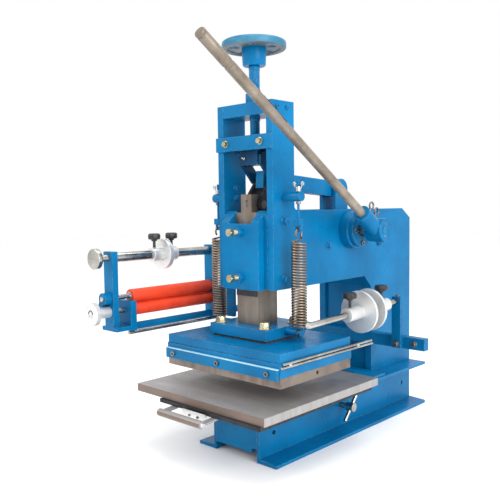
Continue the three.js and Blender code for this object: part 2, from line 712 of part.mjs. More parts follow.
function frontBracket() {
  const { x, bar } = REWIND;
  const upright = box(x - UPRIGHT.half, x + UPRIGHT.half, UPRIGHT.front, UPRIGHT.back, 240, UPRIGHT.top);
  const foot = box(x - 25, x + 24, UPRIGHT.front, -86, 236, 244);
  const plate = box(x - 25, x + 24, -100, -86, 234, 293);
  const support = rodY(x, bar, 8, -90, 357.7);
  const post = box(x - 9, x + 9, 345.7, 357.7, 172, bar + 6);
  return cut(join(upright, foot, plate, support, post), ...rewindHoles(-150, -80));
}

function rearBracket() {
  const { x, bar } = REWIND;
  const upright = box(x - UPRIGHT.half, x + UPRIGHT.half, REAR_UPRIGHT.front, REAR_UPRIGHT.back, 226, UPRIGHT.top);
  const wing = box(x + UPRIGHT.half - 1, -128, 140, REAR_UPRIGHT.back, 236, 299);
  return cut(join(upright, wing), rodY(x, bar, loose(8), 120, 160), ...rewindHoles(120, 160));
}

function nipRoller(z, front, back) {
  const { x } = REWIND;
  return join(
    rodY(x, z, 13.3, -84.5, 134, FINE),
    rodY(x, z, AXLE, front, back),
  );
}

function addRewind() {
  const { x, top, upper, lower } = REWIND;
  add('rewind_front_bracket', frontBracket(), bluePaint());
  add('rewind_rear_bracket', rearBracket(), bluePaint());
  const shaft = join(
    rodY(x, top, JOURNAL, -160, 154),
    rodY(x, top, 9.5, UPRIGHT.back + GAP, REAR_UPRIGHT.front - GAP, FINE),
    rodY(x, top, 20.2, -168, -158, FINE),
  );
  add('rewind_shaft', shaft, polished());
  const disc = cut(
    join(rodY(x, top, 32, -2, 9, FINE), rodY(x, top, 15, -28, 36, FINE)),
    rodY(x, top, loose(9.5), -40, 50, FINE),
    rodZ(x, -19, loose(3), top + 2, top + 25, 16),
    rodZ(x, 27, loose(3), top + 2, top + 25, 16),
  );
  add('rewind_disc', disc, aluminium());
  const knob = (y) => join(
    rodZ(x, y, 3, top + 10, top + 32, 16),
    rodZ(x, y, 13, top + 31, top + 44, FINE),
  );
  add('rewind_knob_front', knob(-19), blackPlastic());
  add('rewind_knob_rear', knob(27), blackPlastic());
  add('nip_roller_upper', nipRoller(upper, -152, 148), rollerRubber());
  add('nip_roller_lower', nipRoller(lower, -174, 148), rollerRubber());
  const drive = cut(
    join(rodY(x, lower, 22.5, -177, -166, FINE), rodY(x, lower, 11, -167, UPRIGHT.front - GAP)),
    rodY(x, lower, loose(AXLE), -174.5, -130),
  );
  add('drive_knob', drive, aluminium());
  const lever = cut(
    join(
      rodY(x, upper, 12, -150, UPRIGHT.front - GAP),
      plateY([[x - 12, upper + 2], [x - 28, 272], [x - 17, 268], [x - 3, upper - 11]], -146, -138),
    ),
    rodY(x, upper, loose(AXLE), -160, -130),
  );
  add('pressure_lever', lever, bluePaint());
}

addBase();
addClampScrew();
addFrame();
addGuides();
addRam();
addHead();
addFoilRod();
addTable();
addToggle();
addSlider();
addHandwheel();
addHandle();
addSprings();
addSupply();
addRewind();

export default stamper;
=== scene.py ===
import json
import math

import bmesh
import bpy
from mathutils import Matrix, Vector


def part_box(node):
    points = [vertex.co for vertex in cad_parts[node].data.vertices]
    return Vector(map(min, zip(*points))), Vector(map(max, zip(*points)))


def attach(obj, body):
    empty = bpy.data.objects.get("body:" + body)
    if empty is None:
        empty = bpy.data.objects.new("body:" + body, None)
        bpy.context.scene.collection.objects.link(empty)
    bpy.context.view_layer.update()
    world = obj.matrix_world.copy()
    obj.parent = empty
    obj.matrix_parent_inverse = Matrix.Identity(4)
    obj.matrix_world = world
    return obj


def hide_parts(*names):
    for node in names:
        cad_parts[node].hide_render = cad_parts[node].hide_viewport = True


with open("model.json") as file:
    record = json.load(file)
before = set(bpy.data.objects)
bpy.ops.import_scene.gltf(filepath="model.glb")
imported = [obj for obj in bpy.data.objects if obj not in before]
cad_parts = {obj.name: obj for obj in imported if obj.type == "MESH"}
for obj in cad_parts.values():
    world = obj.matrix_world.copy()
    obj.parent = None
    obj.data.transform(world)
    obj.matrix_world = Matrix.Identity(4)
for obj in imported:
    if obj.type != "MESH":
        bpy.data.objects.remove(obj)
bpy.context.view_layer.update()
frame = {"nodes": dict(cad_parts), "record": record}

# ---- places, taken from the frame ----
MM = 0.001
ram_low, ram_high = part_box("ram")
MIDDLE = (ram_low.x + ram_high.x) / 2
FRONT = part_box("base_channel_right")[0].y
X_AXIS = Vector((1, 0, 0))
Y_AXIS = Vector((0, 1, 0))
Z_AXIS = Vector((0, 0, 1))


def at(x, y, z):
    """A point in millimetres from the ram's middle plane, the base's front end and the floor."""
    return Vector((MIDDLE + x * MM, FRONT + y * MM, z * MM))


# ---- materials ----
def srgb(red, green, blue):
    """A colour given as it shows on screen, 0 to 255, as the linear one that shaders use."""
    linear = []
    for value in (red, green, blue):
        share = value / 255
        linear.append(share / 12.92 if share <= 0.04045 else ((share + 0.055) / 1.055) ** 2.4)
    return (*linear, 1.0)


class Recipe:
    """A node material under construction, with short calls for the nodes that repeat."""

    def __init__(self, name):
        self.material = bpy.data.materials.new(name)
        self.material.use_nodes = True
        self.tree = self.material.node_tree
        self.shader = self.tree.nodes["Principled BSDF"]
        self.place = self.node("ShaderNodeTexCoord").outputs["Object"]

    def node(self, kind, **settings):
        made = self.tree.nodes.new(kind)
        for key, value in settings.items():
            setattr(made, key, value)
        return made

    def link(self, output, socket):
        self.tree.links.new(output, socket)

    def stretched(self, scale):
        mapping = self.node("ShaderNodeMapping")
        mapping.inputs["Scale"].default_value = scale
        self.link(self.place, mapping.inputs["Vector"])
        return mapping.outputs["Vector"]

    def noise(self, scale, detail=4.0, roughness=0.55, stretch=None):
        made = self.node("ShaderNodeTexNoise")
        made.inputs["Scale"].default_value = scale
        made.inputs["Detail"].default_value = detail
        made.inputs["Roughness"].default_value = roughness
        place = self.place if stretch is None else self.stretched(stretch)
        self.link(place, made.inputs["Vector"])
        return made.outputs["Fac"]

    def ramp(self, value, *stops):
        made = self.node("ShaderNodeValToRGB")
        elements = made.color_ramp.elements
        while len(elements) < len(stops):
            elements.new(0.5)
        for element, (position, colour) in zip(elements, stops):
            element.position = position
            element.color = colour
        self.link(value, made.inputs["Fac"])
        return made.outputs["Color"]

    def range(self, value, low, high, from_low=0.25, from_high=0.75):
        made = self.node("ShaderNodeMapRange")
        made.inputs["From Min"].default_value = from_low
        made.inputs["From Max"].default_value = from_high
        made.inputs["To Min"].default_value = low
        made.inputs["To Max"].default_value = high
        self.link(value, made.inputs["Value"])
        return made.outputs["Result"]

    def mix(self, share, first, second):
        made = self.node("ShaderNodeMix", data_type="RGBA")
        self.link(share, made.inputs["Factor"])
        for socket, value in ((made.inputs["A"], first), (made.inputs["B"], second)):
            if isinstance(value, tuple):
                socket.default_value = value
            else:
                self.link(value, socket)
        return made.outputs["Result"]

    def worn_edges(self, radius, from_dot=0.86, to_dot=0.97):
        """1 on outside and inside edges, 0 on flats, broken up by noise."""
        bevel = self.node("ShaderNodeBevel", samples=4)
        bevel.inputs["Radius"].default_value = radius
        geometry = self.node("ShaderNodeNewGeometry")
        dot = self.node("ShaderNodeVectorMath", operation="DOT_PRODUCT")
        self.link(bevel.outputs["Normal"], dot.inputs[0])
        self.link(geometry.outputs["Normal"], dot.inputs[1])
        edge = self.range(dot.outputs["Value"], 1.0, 0.0, from_dot, to_dot)
        broken = self.range(self.noise(160, 6), 0.0, 1.0, 0.42, 0.6)
        product = self.node("ShaderNodeMath", operation="MULTIPLY")
        self.link(edge, product.inputs[0])
        self.link(broken, product.inputs[1])
        return product.outputs["Value"]

    def bump(self, height, strength, distance, edge_radius=None):
        made = self.node("ShaderNodeBump")
        made.inputs["Strength"].default_value = strength
        made.inputs["Distance"].default_value = distance
        self.link(height, made.inputs["Height"])
        if edge_radius:
            bevel = self.node("ShaderNodeBevel", samples=4)
            bevel.inputs["Radius"].default_value = edge_radius
            self.link(bevel.outputs["Normal"], made.inputs["Normal"])
        self.link(made.outputs["Normal"], self.shader.inputs["Normal"])

    def set(self, **values):
        for key, value in values.items():
            self.shader.inputs[key.replace("_", " ")].default_value = value

    def colour(self, output):
        self.link(output, self.shader.inputs["Base Color"])

    def roughness(self, output):
        self.link(output, self.shader.inputs["Roughness"])


def blue_paint(name="blue_paint", dark=(0, 94, 142), middle=(0, 106, 157), light=(0, 118, 172)):
    """Machine paint in three close tones, with grime, a satin sheen and paler chipped edges."""
    recipe = Recipe(name)
    tone = recipe.ramp(recipe.noise(9, 5), (0.3, srgb(*dark)), (0.5, srgb(*middle)), (0.7, srgb(*light)))
    grime = recipe.range(recipe.noise(34, 8, 0.65), 0.0, 0.35, 0.55, 0.8)
    dusty = recipe.mix(grime, tone, srgb(40, 104, 134))
    chipped = recipe.mix(recipe.worn_edges(1.4 * MM), dusty, srgb(120, 150, 165))
    recipe.colour(chipped)
    recipe.roughness(recipe.range(recipe.noise(60, 6), 0.24, 0.42))
    recipe.bump(recipe.noise(420, 3), 0.12, 0.4 * MM, 1.1 * MM)
    recipe.set(Specular_IOR_Level=0.12, Coat_Weight=0.05, Coat_Roughness=0.2)
    return recipe.material


def brushed(name, dark, light, metal, rough, grain=(8, 400, 8), stains=None, front=None):
    """Ground or brushed steel with streaks along its grain.

    Stains are patches, and front is painted shade, a darker browner tint on the faces that look to -Y."""
    recipe = Recipe(name)
    streaks = recipe.noise(1.0, 6, 0.6, grain)
    tone = recipe.ramp(streaks, (0.3, srgb(*dark)), (0.7, srgb(*light)))
    if stains:
        share = recipe.range(recipe.noise(14, 8, 0.6), 0.0, 0.7, 0.48, 0.72)
        tone = recipe.mix(share, tone, srgb(*stains))
    # Painted shade: faces that look to -Y are tinted towards the darker front colour.
    if front:
        sides = recipe.node("ShaderNodeSeparateXYZ")
        recipe.link(recipe.node("ShaderNodeNewGeometry").outputs["Normal"], sides.inputs["Vector"])
        tone = recipe.mix(recipe.range(sides.outputs["Y"], 0.85, 0.0, -0.95, -0.6), tone, srgb(*front))
    recipe.colour(tone)
    recipe.roughness(recipe.range(recipe.noise(30, 8), rough[0], rough[1]))
    recipe.bump(streaks, 0.16, 0.2 * MM, 0.7 * MM)
    recipe.set(Metallic=metal)
    return recipe.material


def turned_metal(name, dark, light, rough, rings=900, metal=1.0):
    """Metal turned on a lathe: fine rings and a little tarnish."""
    recipe = Recipe(name)
    marks = recipe.noise(rings, 2)
    tone = recipe.ramp(recipe.noise(22, 6), (0.3, srgb(*dark)), (0.7, srgb(*light)))
    recipe.colour(tone)
    recipe.roughness(recipe.range(recipe.noise(70, 6), rough[0], rough[1]))
    recipe.bump(marks, 0.08, 0.1 * MM, 0.4 * MM)
    recipe.set(Metallic=metal)
    return recipe.material


def roller_rubber():
    """Orange rubber with a few dull patches."""
    recipe = Recipe("roller_rubber")
    tone = recipe.ramp(recipe.noise(26, 6), (0.3, srgb(222, 58, 24)), (0.7, srgb(244, 78, 38)))
    dull = recipe.range(recipe.noise(90, 8), 0, 0.25, 0.58, 0.8)
    recipe.colour(recipe.mix(dull, tone, srgb(190, 96, 70)))
    recipe.roughness(recipe.range(recipe.noise(40, 5), 0.36, 0.52))
    recipe.bump(recipe.noise(900, 3), 0.15, 0.1 * MM)
    recipe.set(Specular_IOR_Level=0.45)
    return recipe.material


def black_plastic():
    """Moulded black plastic with a fine grain."""
    recipe = Recipe("black_plastic")
    recipe.colour(recipe.ramp(recipe.noise(60, 6), (0.3, srgb(24, 24, 28)), (0.7, srgb(46, 44, 48))))
    recipe.roughness(recipe.range(recipe.noise(90, 5), 0.3, 0.48))
    recipe.bump(recipe.noise(1500, 2), 0.2, 0.08 * MM, 0.5 * MM)
    return recipe.material


def shaded_insulation():
    """Pressed fibre sheet, matt; its dark colour is painted shade for the gap under the flange."""
    recipe = Recipe("shaded_insulation")
    recipe.colour(recipe.ramp(recipe.noise(160, 8), (0.3, srgb(44, 40, 40)), (0.7, srgb(78, 70, 64))))
    recipe.roughness(recipe.range(recipe.noise(50, 5), 0.7, 0.9))
    recipe.bump(recipe.noise(700, 5), 0.4, 0.3 * MM)
    return recipe.material


def worn_bar():
    """The lever's steel tube: grey-beige, handled bright, with brown specks."""
    recipe = Recipe("worn_steel")
    dull = srgb(100, 90, 78)
    grey = srgb(132, 121, 108)
    bright = srgb(158, 149, 138)
    tone = recipe.ramp(recipe.noise(18, 7, 0.65), (0.28, dull), (0.5, grey), (0.72, bright))
    specks = recipe.range(recipe.noise(210, 8, 0.7), 0.0, 0.85, 0.6, 0.7)
    recipe.colour(recipe.mix(specks, tone, srgb(84, 68, 54)))
    recipe.roughness(recipe.range(recipe.noise(46, 6), 0.3, 0.52))
    recipe.bump(recipe.noise(320, 6), 0.2, 0.2 * MM)
    recipe.set(Metallic=0.35)
    return recipe.material


MATERIALS = {
    "blue_paint": blue_paint(),
    "dark_steel": brushed("dark_steel", (38, 40, 44), (74, 76, 80), 0.8, (0.34, 0.55)),
    # The grey steel's front colour is painted shade on its -Y faces.
    "grey_steel": brushed(
        "grey_steel", (150, 147, 146), (170, 168, 167), 0.55, (0.34, 0.5),
        grain=(6, 60, 6), stains=(150, 140, 134), front=(112, 92, 80),
    ),
    "worn_steel": worn_bar(),
    "platen_steel": brushed(
        "platen_steel", (112, 100, 92), (156, 144, 134), 0.6, (0.34, 0.55),
        grain=(60, 4, 4), stains=(74, 62, 54),
    ),
    "polished_steel": turned_metal("polished_steel", (146, 142, 136), (198, 196, 190), (0.16, 0.32)),
    "aluminium": turned_metal("aluminium", (204, 205, 205), (230, 230, 228), (0.28, 0.42), metal=0.6),
    "roller_rubber": roller_rubber(),
    "black_plastic": black_plastic(),
}
SHADED_INSULATION = shaded_insulation()
# Painted shade: the blue paint in much darker tones, for parts that sit in the column's shadow.
SHADED_BLUE_PAINT = blue_paint("painted_shade_blue", (0, 40, 66), (0, 56, 90), (0, 74, 114))
GROUND_STEEL = brushed(
    "ground_steel", (108, 100, 92), (142, 134, 124), 0.6, (0.34, 0.5), grain=(50, 50, 5), stains=(98, 80, 64)
)
# A pale cyan-white colour for a painted highlight along the head strip's edge.
PAINTED_HIGHLIGHT = turned_metal("painted_highlight_edge", (150, 200, 224), (190, 226, 240), (0.3, 0.45), rings=300, metal=0.1)
BOLT_STEEL = turned_metal("bolt_steel", (96, 96, 98), (150, 150, 152), (0.26, 0.44))
BRIGHT_ZINC = turned_metal("bright_zinc", (176, 178, 180), (216, 216, 214), (0.2, 0.36))
YELLOW_ZINC = turned_metal("yellow_zinc", (150, 140, 104), (206, 200, 172), (0.22, 0.4))
SPRING_STEEL = turned_metal("spring_steel", (104, 88, 74), (172, 156, 138), (0.26, 0.42))
WHEEL_METAL = turned_metal(
    "wheel_underside", (70, 84, 94), (116, 126, 132), (0.36, 0.56), rings=300, metal=0.35
)
WHEEL_PAINT = blue_paint("wheel_paint", (40, 96, 128), (52, 118, 150), (96, 150, 172))

# Nodes whose colour differs from their material slot's: ground steel for the ram, and a darkened blue,
# painted shade, for the upper link and slider block.
SPECIAL = {"ram": GROUND_STEEL, "upper_link": SHADED_BLUE_PAINT, "slider_block": SHADED_BLUE_PAINT}

for part in frame["record"]["subparts"]:
    node = frame["nodes"][part["node"]]
    node.data.materials.clear()
    node.data.materials.append(SPECIAL.get(part["node"], MATERIALS[part["material_slot"]]))


# ---- mesh helpers ----
def piece(name, mesh, material, body, sharp=35, bevel=0.0):
    """A named piece from a bmesh, shaded smooth except at sharp edges, riding on a body."""
    bmesh.ops.remove_doubles(mesh, verts=mesh.verts, dist=1e-7)
    bmesh.ops.recalc_face_normals(mesh, faces=mesh.faces)
    data = bpy.data.meshes.new(name)
    mesh.to_mesh(data)
    mesh.free()
    data.materials.append(material)
    for face in data.polygons:
        face.use_smooth = True
    data.set_sharp_from_angle(angle=math.radians(sharp))
    made = bpy.data.objects.new(name, data)
    bpy.context.scene.collection.objects.link(made)
    if bevel:
        soften = made.modifiers.new("soften", "BEVEL")
        soften.width = bevel
        soften.segments = 2
        soften.limit_method = "ANGLE"
        soften.angle_limit = math.radians(30)
    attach(made, body)
    return made


def turned_frame(origin, axis):
    """A matrix that puts local Z on the axis, starting at the origin."""
    turn = Vector(axis).normalized().to_track_quat("Z", "Y").to_matrix().to_4x4()
    return Matrix.Translation(origin) @ turn


def round_vertex(mesh, place, reach, angle, height):
    """A new vertex at a reach, angle and height, in mm, in a turned frame."""
    local = Vector((reach * MM * math.cos(angle), reach * MM * math.sin(angle), height * MM))
    return mesh.verts.new(place @ local)


def join_rings(mesh, rings):
    """Skins the space between neighbouring rings of vertices and closes both ends."""
    for lower, upper in zip(rings, rings[1:]):
        count = len(lower)
        for step in range(count):
            after = (step + 1) % count
            mesh.faces.new([lower[step], lower[after], upper[after], upper[step]])
    mesh.faces.new(list(reversed(rings[0])))
    mesh.faces.new(rings[-1])


def lathe(mesh, profile, origin, axis, segments=64, hexagon=()):
    """Turns (radius, height) points in mm about an axis. Points numbered in hexagon lie on a hexagon."""
    place = turned_frame(origin, axis)
    rings = []
    for number, (radius, height) in enumerate(profile):
        ring = []
        if radius < 1e-6:
            ring = [mesh.verts.new(place @ Vector((0, 0, height * MM)))] * segments
        else:
            for step in range(segments):
                angle = 2 * math.pi * step / segments
                reach = radius
                if number in hexagon:
                    away = (angle + math.pi / 6) % (math.pi / 3) - math.pi / 6
                    reach = radius * math.cos(math.pi / 6) / math.cos(math.pi / 6 - abs(away))
                ring.append(round_vertex(mesh, place, reach, angle, height))
        rings.append(ring)
    for lower, upper in zip(rings, rings[1:]):
        for step in range(segments):
            after = (step + 1) % segments
            corners = [lower[step], lower[after], upper[after], upper[step]]
            unique = list(dict.fromkeys(corners))
            if len(unique) > 2:
                mesh.faces.new(unique)


def rounded(radius, low, high, edge, inner=0.0):
    """The profile of a disc or bar with rounded rims, from the axis or an inner radius and back."""
    steps = 4
    points = [(inner, low)]
    for step in range(steps + 1):
        angle = math.pi / 2 * step / steps
        points.append((radius - edge + edge * math.sin(angle), low + edge - edge * math.cos(angle)))
    for step in range(steps + 1):
        angle = math.pi / 2 * step / steps
        points.append((radius - edge + edge * math.cos(angle), high - edge + edge * math.sin(angle)))
    points.append((inner, high))
    if inner:
        points.append((inner, low))
    return points


def turned(name, profiles, origin, axis, material, body, segments=64, sharp=35):
    """A piece made of profiles turned about one axis."""
    mesh = bmesh.new()
    for profile in profiles:
        lathe(mesh, profile, origin, axis, segments)
    return piece(name, mesh, material, body, sharp)


def block(mesh, low, high):
    """A box between two corner points."""
    made = bmesh.ops.create_cube(mesh, size=1.0)
    centre = (low + high) / 2
    size = high - low
    for vertex in made["verts"]:
        vertex.co = centre + Vector((vertex.co.x * size.x, vertex.co.y * size.y, vertex.co.z * size.z))


def sweep(mesh, points, radius, sides=10):
    """A round wire through the points, closed at both ends."""
    tangents = []
    for number in range(len(points)):
        before = points[max(number - 1, 0)]
        after = points[min(number + 1, len(points) - 1)]
        tangents.append((after - before).normalized())
    across = tangents[0].orthogonal().normalized()
    rings = []
    for point, tangent in zip(points, tangents):
        across = (across - tangent * across.dot(tangent)).normalized()
        other = tangent.cross(across)
        ring = []
        for step in range(sides):
            angle = 2 * math.pi * step / sides
            out = across * math.cos(angle) + other * math.sin(angle)
            ring.append(mesh.verts.new(point + out * radius))
        rings.append(ring)
    join_rings(mesh, rings)


def hex_bolt(name, origin, axis, across, height, body, washer=0.0, material=None):
    """A hexagon head with a chamfered top, on a washer if it has one."""
    mesh = bmesh.new()
    rise = 0.0
    if washer:
        rise = 1.6
        lathe(mesh, rounded(washer, 0, rise, 0.3), origin, axis, 40)
    corner = across / math.sqrt(3)
    top = rise + height
    profile = [(0, rise), (corner, rise), (corner, rise + height * 0.82), (across * 0.46, top), (0, top)]
    lathe(mesh, profile, origin, axis, 48, hexagon=(1, 2))
    return piece(name, mesh, material or BOLT_STEEL, body, 25)


def socket_screw(name, origin, axis, radius, height, body, material=None):
    """A round head with a hexagon socket."""
    mesh = bmesh.new()
    socket = radius * 0.56
    profile = [
        (0, 0), (radius, 0), (radius, height * 0.86), (radius * 0.9, height),
        (socket * 1.12, height), (socket, height * 0.94), (socket, height * 0.35), (0, height * 0.3),
    ]
    lathe(mesh, profile, origin, axis, 48, hexagon=(5, 6))
    return piece(name, mesh, material or BOLT_STEEL, body, 30)


def knurled(mesh, radius, low, high, origin, axis, teeth, depth=0.5):
    """A round grip with straight knurling and chamfered ends."""
    place = turned_frame(origin, axis)
    end = radius - 1.2
    rings = []
    for reach, height in ((end, low), (radius, low + 1.0), (radius, high - 1.0), (end, high)):
        ring = []
        for step in range(teeth * 2):
            angle = math.pi * step / teeth
            out = reach - (depth if step % 2 else 0)
            ring.append(round_vertex(mesh, place, out, angle, height))
        rings.append(ring)
    join_rings(mesh, rings)


def thread(mesh, origin, axis, radius, low, high, pitch, depth):
    """A screw thread as a rippled skin."""
    place = turned_frame(origin, axis)
    around = 36
    per_turn = 6
    rows = int((high - low) / pitch * per_turn)
    rings = []
    for row in range(rows + 1):
        height = low + (high - low) * row / rows
        ring = []
        for step in range(around):
            turn = (height / pitch - step / around) % 1.0
            reach = radius - depth * abs(2 * turn - 1)
            angle = 2 * math.pi * step / around
            ring.append(round_vertex(mesh, place, reach, angle, height))
        rings.append(ring)
    join_rings(mesh, rings)


# ---- handwheel and adjusting screw ----
PIN_Y = 78.6
SCREW_BASE = at(0, PIN_Y, 0)
RIM_INNER = 51
RIM_LOW = 783
WEB_LOW = 784
PAINT_LOW = 786.5
WEB_TOP = 791.5
WHEEL_BORE = 8.1
HUB_LOW = 749.5
SCREW_THIN = 10.0
SCREW_RADIUS = 11.0
SCREW_LOW = 613.4
SCREW_STEP = 645
SCREW_TOP = 741
SCREW_PITCH = 2.5
LOCK_NUT_LOW = 675.7
LOCK_NUT_TOP = 697


def build_handwheel():
    """The painted rim and hub, and the web and rim's underside, which are bare."""
    blue = MATERIALS["blue_paint"]
    mesh = bmesh.new()
    rim = [
        (RIM_INNER, RIM_LOW), (62.2, RIM_LOW), (63, 786), (63, 791), (62, 794.6), (59, 796.6),
        (55, 797), (52, 796), (RIM_INNER, 794), (RIM_INNER, RIM_LOW),
    ]
    lathe(mesh, rim, SCREW_BASE, Z_AXIS, 96)
    wheel = piece("handwheel_rim", mesh, WHEEL_PAINT, "screw", 50)
    mesh = bmesh.new()
    under = [
        (RIM_INNER, RIM_LOW), (52, 781), (55, 780), (59, 780.4), (61, 781.6), (62.2, RIM_LOW),
        (RIM_INNER, RIM_LOW),
    ]
    lathe(mesh, under, SCREW_BASE, Z_AXIS, 96)
    bare_rim = piece("handwheel_bare_rim", mesh, WHEEL_METAL, "screw", 50)
    mesh = bmesh.new()
    hub = [
        (WHEEL_BORE, HUB_LOW), (21, HUB_LOW), (22.6, 751.4), (23.4, 766), (24, 778), (24, 792), (22.5, 794.5),
        (11, 794.5), (10, 793), (WHEEL_BORE, 793), (WHEEL_BORE, HUB_LOW),
    ]
    lathe(mesh, hub, SCREW_BASE, Z_AXIS, 72)
    hub_piece = piece("handwheel_hub", mesh, blue, "screw", 40)
    web = wheel_web("handwheel_web", PAINT_LOW, WEB_TOP, blue)
    bare_web = wheel_web("handwheel_bare_web", WEB_LOW, PAINT_LOW, WHEEL_METAL)
    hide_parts("handwheel")


def wheel_web(name, low, high, material):
    """The wheel's web: five sectors that leave a round hole between each pair."""
    sectors = 5
    hole_reach = 38
    hole_radius = 10
    first_turn = 0.3
    limit_clear = math.pi / sectors
    mesh = bmesh.new()
    for number in range(sectors):
        middle = number * 2 * math.pi / sectors + first_turn + limit_clear
        rows = []
        for reach in (22, 25, 27.5, 28.2, 29.5, 32, 35, 38, 41, 44, 46.5, 47.8, 48.5, 51.5):
            limit = limit_clear
            if abs(reach - hole_reach) < hole_radius:
                share = (reach ** 2 + hole_reach ** 2 - hole_radius ** 2) / (2 * hole_reach * reach)
                limit -= math.acos(share)
            row = []
            for step in range(9):
                angle = middle + limit * (step / 4 - 1)
                x = reach * math.cos(angle) * MM
                y = reach * math.sin(angle) * MM
                row.append([mesh.verts.new(SCREW_BASE + Vector((x, y, level * MM))) for level in (low, high)])
            rows.append(row)
        for inner, outer in zip(rows, rows[1:]):
            for step in range(8):
                for level in (0, 1):
                    near = [inner[step][level], inner[step + 1][level]]
                    far = [outer[step + 1][level], outer[step][level]]
                    mesh.faces.new(near + far)
            for side in (0, 8):
                mesh.faces.new([inner[side][0], inner[side][1], outer[side][1], outer[side][0]])
        for row in (rows[0], rows[-1]):
            for step in range(8):
                mesh.faces.new([row[step][0], row[step + 1][0], row[step + 1][1], row[step][1]])
    return piece(name, mesh, material, "screw", 45)


def build_screw():
    """The threaded screw, thinner in the slider, and its hexagon lock nut."""
    blue = MATERIALS["blue_paint"]
    mesh = bmesh.new()
    thread(mesh, SCREW_BASE, Z_AXIS, SCREW_THIN, SCREW_LOW, SCREW_STEP, SCREW_PITCH, 0.9)
    thread(mesh, SCREW_BASE, Z_AXIS, SCREW_RADIUS, SCREW_STEP, SCREW_TOP, SCREW_PITCH, 1.1)
    lathe(mesh, rounded(SCREW_RADIUS, SCREW_TOP, 749.2, 0.8), SCREW_BASE, Z_AXIS, 48)
    lathe(mesh, rounded(8, 749, 796, 0.8), SCREW_BASE, Z_AXIS, 48)
    screw = piece("adjusting_screw_threaded", mesh, blue, "screw", 70)
    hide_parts("adjusting_screw")
    mesh = bmesh.new()
    corner = 32 / math.sqrt(3)
    profile = [
        (11.1, LOCK_NUT_LOW), (16, LOCK_NUT_LOW), (corner, 677.5), (corner, 695.2),
        (16, LOCK_NUT_TOP), (11.1, LOCK_NUT_TOP), (11.1, LOCK_NUT_LOW),
    ]
    lathe(mesh, profile, SCREW_BASE, Z_AXIS, 72, hexagon=(2, 3))
    nut = piece("screw_lock_nut_hex", mesh, blue, "lock_nut", 25)
    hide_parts("screw_lock_nut")


# ---- handle ----
SHAFT_Y = 295
SHAFT_Z = 425.5
RISE = math.radians(33.1)
BAR_X = 143
TUBE = 9.2
SLEEVE = 9.5
BAR_BASE = at(BAR_X, 234, 460.6)
BAR_AXIS = Vector((0, -math.cos(RISE), math.sin(RISE)))
BAR_UP = BAR_AXIS.cross(X_AXIS).normalized()


def build_handle():
    """The tube with its grooves, its pins and seam, the thumb screws that hold it and the hub's bolt."""
    mesh = bmesh.new()
    profile = [
        (0, -36), (TUBE, -36), (TUBE, 62), (8.8, 62.4), (8.8, 63.6), (TUBE, 64), (TUBE, 300),
        (SLEEVE, 300.4), (SLEEVE, 438), (8.7, 438.8), (8.7, 443), (SLEEVE, 443.8), (SLEEVE, 505),
        (9, 505.6), (9, 506.6), (SLEEVE, 507.2), (SLEEVE, 511), (8.4, 513), (0, 513.2),
    ]
    lathe(mesh, profile, BAR_BASE, BAR_AXIS, 64)
    bar = piece("handle_tube", mesh, MATERIALS["worn_steel"], "crank", 40)
    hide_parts("handle_bar")
    out = (X_AXIS * 0.82 + BAR_UP * 0.57).normalized()
    for number, distance in enumerate((368, 392)):
        origin = BAR_BASE + BAR_AXIS * distance * MM + out * 8.6 * MM
        mesh = bmesh.new()
        lathe(mesh, [(0, 0), (2.4, 0), (2.4, 1.2), (1.5, 1.5), (1.5, 0.7), (0, 0.7)], origin, out, 24)
        dot = piece(f"handle_pin_{number + 1}", mesh, BOLT_STEEL, "crank", 30)
    seam = [BAR_BASE + BAR_AXIS * distance * MM + out * TUBE * MM for distance in (286, 300, 320, 340, 356)]
    mesh = bmesh.new()
    sweep(mesh, seam, 0.9 * MM, 8)
    slit = piece("handle_seam", mesh, MATERIALS["black_plastic"], "crank", 40)
    for number, distance in enumerate((-22, -44)):
        origin = BAR_BASE + BAR_AXIS * distance * MM + BAR_UP * 17 * MM
        mesh = bmesh.new()
        lathe(mesh, rounded(3.0, 0, 9, 0.3), origin, BAR_UP, 24)
        ring = []
        centre = origin + BAR_UP * 15.5 * MM
        for step in range(25):
            angle = 2 * math.pi * step / 24
            ring.append(centre + (BAR_UP * math.cos(angle) + BAR_AXIS * math.sin(angle)) * 7 * MM)
        sweep(mesh, ring, 1.9 * MM, 10)
        screw = piece(f"handle_thumb_screw_{number + 1}", mesh, BOLT_STEEL, "crank", 40)
    blue = MATERIALS["blue_paint"]
    under_hub = at(BAR_X, SHAFT_Y + 3, SHAFT_Z - 24)
    bolt = hex_bolt("handle_hub_bolt", under_hub, -Z_AXIS, 10, 7, "crank", 7, blue)
    end = turned(
        "main_shaft_end",
        [[(0, 0), (12.4, 0), (12.4, 0.8), (11.6, 1.5), (1.8, 1.5), (0, 0.4)]],
        at(161.4, SHAFT_Y, SHAFT_Z), X_AXIS, blue, "crank",
    )


COLUMN_SIDE = 72.3


def build_drum():
    """The shaft's stepped housing with its four screws, and the bolt beside it."""
    blue = MATERIALS["blue_paint"]
    base = at(72.6, SHAFT_Y, SHAFT_Z)
    profile = [
        (13.6, 0), (38.5, 0), (39.5, 1), (39.5, 18.6), (38.6, 19.6), (36.8, 20), (36.5, 20.4), (36.5, 30),
        (35.3, 31.4), (18.4, 31.4), (17.8, 30.8), (17.8, 29.6), (13.6, 29.6), (13.6, 0),
    ]
    drum = turned("shaft_housing_drum", [profile], base, X_AXIS, blue, "frame", 96, 30)
    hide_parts("shaft_housing")
    face = 31.4
    for number in range(4):
        angle = math.pi / 2 * number
        offset = Vector((face * MM, 28 * math.sin(angle) * MM, -28 * math.cos(angle) * MM))
        bolt = socket_screw(f"shaft_housing_bolt_{number + 1}", base + offset, X_AXIS, 5, 3.4, "frame")
    bolt = hex_bolt("arm_plate_bolt", at(COLUMN_SIDE, 220, 395), X_AXIS, 11, 5, "frame", 7.5, blue)


